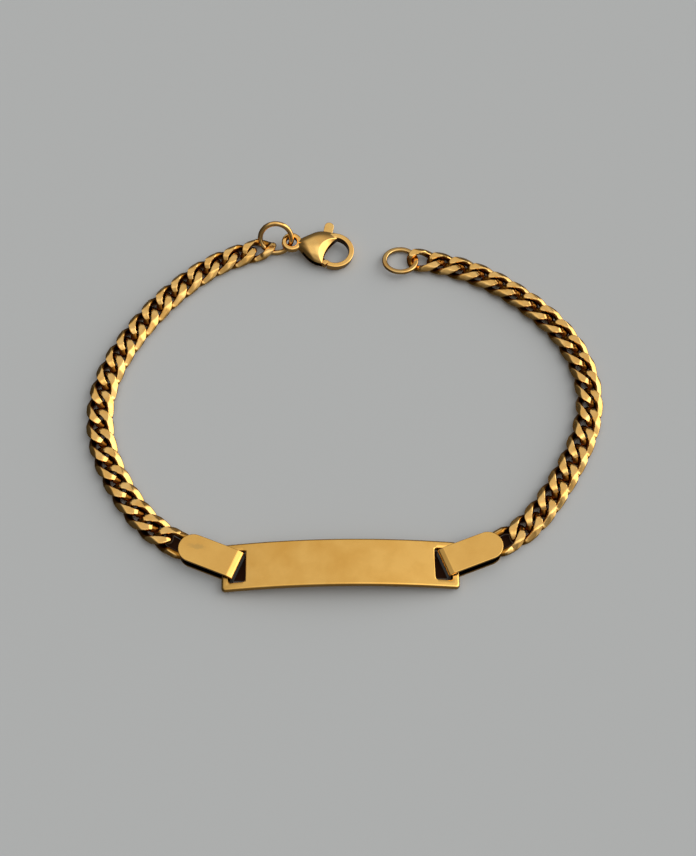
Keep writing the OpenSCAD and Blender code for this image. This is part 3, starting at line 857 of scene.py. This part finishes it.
def hook_grid(rows=90):
    """A flat-topped band carried round the bore; its outer wall draws in a little downwards."""
    turn = np.radians(np.linspace(ROOT_ANGLE + ROOT_INSIDE, TIP_ANGLE, rows))[:, None]
    loop = rounded_loop(HOOK_BAND, HOOK_H, HOOK_ROUND, 5, 7, 5)
    draft = np.where(loop[:, 0] > 0, HOOK_DRAFT * (0.5 - loop[:, 1] / HOOK_H), 0)
    out = HOOK_R - HOOK_BAND / 2 + (loop[:, 0] - draft)[None]
    up = np.broadcast_to(loop[:, 1], (rows, len(loop)))
    return np.stack([REACH + out * np.cos(turn), out * np.sin(turn), up], -1)


def nose_cutter(steps=256):
    """The space before the nose: a wide drum that opens into a cone above and below."""
    wide = NOSE_R + CLASP_H / 2 / np.tan(np.radians(NOSE_SLOPE))
    far = NOSE_EDGE + CLASP_H / 2
    profile = [(wide, -far), (NOSE_R, -NOSE_EDGE), (NOSE_R, NOSE_EDGE), (wide, far)]
    rows = [np.column_stack([round_section(r, steps) + NOSE_AT, np.full(steps, z)])
            for r, z in profile]
    return add_object("nose_cutter", *shell(np.stack(rows), caps=True))


def slot_room():
    """Room for the lever: open to the far side for the thumb tab, and to the near side and front."""
    # Along the reach: behind the hub, and in front on the near and far side; across: the side
    # of the bridge that joins pear and hook, and a distance well outside the body
    back, low_front, bridge, front, side = PIVOT[0] - HUB_R - 0.1, 5.95, 1.7, 6.1, 7.0
    plan = np.array([[back, -side], [low_front, -side], [low_front, 0], [REACH, 0], [REACH, bridge],
                     [front, bridge], [front, side], [back + 1, side], [back, 0]])
    return add_object("slot_room", *shell(prism(plan, -SLOT_HALF_H, SLOT_HALF_H), caps=True))


pear = add_object("pear", *shell(pear_grid(), caps=True))
carve(pear, nose_cutter())
carve(pear, add_object("neck_cutter", *shell(prism(round_section(EYE_R, 64), -3, 3), caps=True)))
hook = add_object("hook", *shell(hook_grid(), caps=True))
for part in (pear, hook):
    carve(part, slot_room())
print("pear", len(pear.data.polygons), "faces, hook", len(hook.data.polygons), "faces")

# %% Hidden faces of the clasp, which get painted shade
def mark_hidden(piece, rule):
    """Stores the rule's 0 to 1 for every point, worked out from the points' places in the clasp."""
    places = np.empty(len(piece.data.vertices) * 3, np.float32)
    piece.data.vertices.foreach_get("co", places)
    x, y, z = places.reshape(-1, 3).T
    layer = piece.data.attributes.new("hidden", "FLOAT", "POINT")
    layer.data.foreach_set("value", rule(x, y, z).astype(np.float32))


def casting_hidden(x, y, z):
    """The lever's slot and the walls of the bore and of the eye's hole, which get painted shade."""
    slot = (np.abs(z) < SLOT_HALF_H + 0.03) & (x > PIVOT[0] - HUB_R - 0.2) & (x < REACH - 0.8)
    bore = (np.hypot(x - REACH, y) < HOOK_R - HOOK_BAND + 0.05) & (np.abs(z) < HOOK_H / 2 - 0.12)
    hole = (np.hypot(x, y) < EYE_R - EYE_BAND / 2 + 0.05) & (np.abs(z) < EYE_H / 2 - 0.15)
    return slot | bore | hole


def lever_hidden(x, y, z):
    """The hub and the part of the arm that stays inside the slot, which get painted shade."""
    return (np.hypot(x - PIVOT[0], y) < GATE_START - 0.35) & (y < 2.0)


# %% One casting
def fuse_and_soften(piece, voxel, rounds):
    """Joins shells that overlap by a voxel remesh, and smooths the result this many times."""
    fuse = piece.modifiers.new("fuse", "REMESH")
    fuse.mode, fuse.voxel_size = "VOXEL", voxel
    soften = piece.modifiers.new("soften", "SMOOTH")
    soften.factor, soften.iterations = 0.5, rounds
    apply_modifiers(piece)


def finish_clasp_part(piece, rule, body, node):
    """Marks hidden faces, moves the part from the clasp's own axes to its place and finishes it."""
    mark_hidden(piece, rule)
    piece.data.transform(Matrix.Translation(CLASP_AT) @ Matrix(clasp_turn).to_4x4())
    finish_piece(piece, cast_polish, body, [node], sharp=80)


eye_section = rounded_loop(EYE_BAND, EYE_H, EYE_ROUND, 3, 4, 6)
eye = add_object("eye", *shell(hoop(EYE_R, eye_section), True, True))
work = bmesh.new()
for part in (pear, hook, eye):
    work.from_mesh(part.data)
    bpy.data.objects.remove(part)
mesh = bpy.data.meshes.new("clasp_casting")
work.to_mesh(mesh)
work.free()
casting = bpy.data.objects.new("clasp_casting", mesh)
bpy.context.scene.collection.objects.link(casting)
fuse_and_soften(casting, VOXEL, 5)
finish_clasp_part(casting, casting_hidden, "bracelet", "clasp_body")

# %% [markdown]
# ## Lever and pin
#
# The lever is one stamped piece: a thumb tab on the far side, a hub round the
# pin, and an arm along the near side of the bore that closes it. The arm's
# outer end is as thick as the hook that it meets. The pin is riveted and
# polished away on the real clasp, so here it stays inside the body.

# %% Lever
LEVER_T, THUMB_W, THUMB_REACH = 0.55, 1.5, 5.0
# The thumb tab stands this far behind the hook's middle, and its sides start this far out
THUMB_BEHIND, THUMB_START = 1.8, 2.4
STEM_ANGLE = 120
# The gate is this much wider than the hook's band, and ends this far before the hook's tip
GATE_WIDER, GATE_GAP = 0.1, 0.26


def near_turn(r, from_pivot):
    """Turn about the hook's middle of the near-side point at radius r and this far from the
    pivot, by the cosine rule."""
    d = REACH - PIVOT[0]
    return -np.degrees(np.arccos((from_pivot ** 2 - d ** 2 - r ** 2) / (2 * d * r)))


def arc_points(middle, r, start, end, steps=20):
    """Points along an arc."""
    turn = np.radians(np.linspace(start, end, steps + 1))
    return np.asarray(middle) + r * np.stack([np.cos(turn), np.sin(turn)], -1)


middle = np.array([REACH, 0.0])
gate_r = HOOK_R - HOOK_BAND - GATE_WIDER
tip_reach = np.linalg.norm(middle + HOOK_R * towards(TIP_ANGLE) - PIVOT) - GATE_GAP
hub_turn = near_turn(HOOK_R, HUB_R)
hub_start = arc_points(middle, HOOK_R, hub_turn, hub_turn, 1)[0] - PIVOT
thumb_r, thumb_x = THUMB_W / 2, REACH - THUMB_BEHIND
lever_plan = np.concatenate([
    arc_points(middle, HOOK_R, near_turn(HOOK_R, tip_reach), hub_turn),
    arc_points(PIVOT, HUB_R, np.degrees(np.arctan2(hub_start[1], hub_start[0])), STEM_ANGLE - 360)[1:],
    [[thumb_x - thumb_r, THUMB_START]],
    arc_points([thumb_x, THUMB_REACH - thumb_r], thumb_r, 180, 0),
    [[thumb_x + thumb_r, THUMB_START]],
    arc_points(middle, gate_r, 180, 360 + near_turn(gate_r, tip_reach))])
lever_shell = shell(prism(lever_plan, -LEVER_T / 2, LEVER_T / 2), caps=True)
print("lever outline", len(lever_plan), "points")

# %% Gate's thick end and the whole lever
# The arm is thicker beyond the nose, between two distances from the pivot
GATE_END_H = 1.15
end_plan = np.concatenate([
    arc_points(middle, HOOK_R, near_turn(HOOK_R, GATE_START), near_turn(HOOK_R, tip_reach), 10),
    arc_points(middle, gate_r, near_turn(gate_r, tip_reach), near_turn(gate_r, GATE_START), 10)])
thick_end = shell(prism(end_plan, -GATE_END_H / 2, GATE_END_H / 2), caps=True)
lever = add_object("clasp_lever_gate", *joined([lever_shell, thick_end]))
fuse_and_soften(lever, VOXEL * 0.8, 4)
finish_clasp_part(lever, lever_hidden, "lever", "clasp_lever")

# %% Pin
PIN_D, PIN_H = 0.76, 1.9
pin_grid = prism(round_section(PIN_D / 2, 40) + PIVOT, -PIN_H / 2, PIN_H / 2)
pin_points, pin_faces = shell(pin_grid, caps=True)
pin = add_object("clasp_pin_rivet", pin_points @ clasp_turn.T + CLASP_AT, pin_faces)
finish_piece(pin, wire_polish, "bracelet", ["clasp_pin"], sharp=40)

# %% [markdown]
# ## Floor and light
#
# The floor is plain and pale. The light is a soft studio dome: bright on the
# right and overhead, middling behind, and dim on the left and towards the
# viewer, which gives the flat facets their even gold and the edges turned to
# the right their pale line. The floor's own mirror image is left out of the
# metal, because a pale floor would wash out its dark side.
#
# Hardly any light reaches the floor inside the slots and the last links, and the
# photograph is near black there. A soft dome alone doesn't give that, so a dark
# spot is painted on the floor under each of the four.

# %% Floor
FLOOR = "#C9CDD1"
FLOOR_HALF, FLOOR_Z = 0.9, -0.00002        # metres
floor_mesh = bpy.data.meshes.new("floor")
corners = [(x * FLOOR_HALF, y * FLOOR_HALF, FLOOR_Z) for x, y in ((-1, -1), (1, -1), (1, 1), (-1, 1))]
floor_mesh.from_pydata(corners, [], [(0, 1, 2, 3)])
floor = bpy.data.objects.new("floor", floor_mesh)
bpy.context.scene.collection.objects.link(floor)
paper = bpy.data.materials.new("pale_matt_floor")
paper.use_nodes = True
tree = paper.node_tree
card = tree.nodes["Principled BSDF"]
card.inputs["Roughness"].default_value = 0.9
card.inputs["Specular IOR Level"].default_value = 0.1
floor_mesh.materials.append(paper)
floor.visible_glossy = False
print("floor", 2 * FLOOR_HALF, "m wide")

# %% Dark spots on the floor
SPOT = "#3A2216"
# Half sizes of the spots, and how far each lies from the slot's or link's own middle
SLOT_SPOT, LINK_SPOT = (1.2, 2.2), (1.4, 1.05)
SLOT_SHIFT, LINK_SHIFT = (-0.1, 0.55), (0, 0.15)


def spot_share(tree, at, size, course):
    """1 inside a turned rectangle, by the larger of a point's two distances from its middle, each
    as a share of the half size there. It falls to 0 just outside."""
    place = add_node(tree, "ShaderNodeTexCoord").outputs["Object"]
    near = add_node(tree, "ShaderNodeMapping", {
        "Vector": place, "Location": (at[0] * MM, at[1] * MM, 0),
        "Scale": (size[0] * MM, size[1] * MM, 1), "Rotation": (0, 0, np.radians(course))},
        vector_type="TEXTURE").outputs["Vector"]
    unsigned = add_node(tree, "ShaderNodeVectorMath", {0: near}, operation="ABSOLUTE")
    sides = add_node(tree, "ShaderNodeSeparateXYZ", {"Vector": unsigned.outputs["Vector"]}).outputs
    away = add_node(tree, "ShaderNodeMath", {0: sides["X"], 1: sides["Y"]}, operation="MAXIMUM")
    return add_node(tree, "ShaderNodeMapRange", {
        "Value": away.outputs["Value"], "From Min": 0.9, "From Max": 1.15,
        "To Min": 1.0, "To Max": 0.0}).outputs["Result"]


spots = [(PLATE_AT + [side * (SLOT_X + SLOT_SHIFT[0]), SLOT_SHIFT[1]], SLOT_SPOT, 0) for side in (-1, 1)]
spots += [(left_end + LINK_SHIFT, LINK_SPOT, LEFT_COURSE),
          (right_end + LINK_SHIFT, LINK_SPOT, RIGHT_COURSE - 180)]
shade = linear(FLOOR)
for at, size, course in spots:
    shade = add_node(tree, "ShaderNodeMix", {
        MIX_FACTOR: spot_share(tree, at, size, course), MIX_A: shade, MIX_B: linear(SPOT)},
        data_type="RGBA").outputs[MIX_COLOUR]
tree.links.new(shade, card.inputs["Base Color"])
print(len(spots), "dark spots")

# %% Studio dome
world = bpy.data.worlds.new("studio_dome")
bpy.context.scene.world = world
world.use_nodes = True
tree = world.node_tree
direction = add_node(tree, "ShaderNodeTexCoord").outputs["Generated"]
way = add_node(tree, "ShaderNodeSeparateXYZ", {"Vector": direction})


def ramp(value, start, end, low, high):
    """A smooth step from one brightness to another."""
    return add_node(tree, "ShaderNodeMapRange", {
        "Value": value, "From Min": start, "From Max": end, "To Min": low, "To Max": high},
        interpolation_type="SMOOTHSTEP").outputs["Result"]


def combine(operation, a, b):
    """One sum or product."""
    return add_node(tree, "ShaderNodeMath", {0: a, 1: b}, operation=operation).outputs["Value"]


# X of a direction runs to the right, Y to the back and Z up, each from -1 to 1
X, Y, Z = (way.outputs[k] for k in "XYZ")
# Each light is a product of steps, each from one place of X, Y or Z and level to another
CEILING = (Z, 0.35, 0.8, 0.0, 0.52), (X, -0.62, -0.4, 0.12, 1.0), (Y, -0.42, -0.16, 0.25, 1.0)
OVERHEAD = (Y, 0.42, 0.1, 0.0, 0.75), (Z, 0.62, 0.82, 0.0, 1.0), (X, -0.1, 0.3, 0.25, 1.0)
WINDOW = (X, 0.5, 0.7, 0.0, 1.8), (Z, -0.15, 0.0, 0.0, 1.0), (Y, -0.36, -0.16, 0.2, 1.0)
ROOM = (Z, -0.1, 0.2, 0.1, 0.14), (X, -0.7, -0.3, 0.4, 1.0)
level = 0.0
for first, *others in (CEILING, OVERHEAD, WINDOW, ROOM):
    light = ramp(*first)
    for step in others:
        light = combine("MULTIPLY", light, ramp(*step))
    level = combine("ADD", level, light)
background = tree.nodes["Background"]
tree.links.new(level, background.inputs["Strength"])
background.inputs["Color"].default_value = linear("#FFFCF6")
bpy.context.scene.view_settings.view_transform = "Standard"
print("dome:", len(tree.nodes), "nodes")
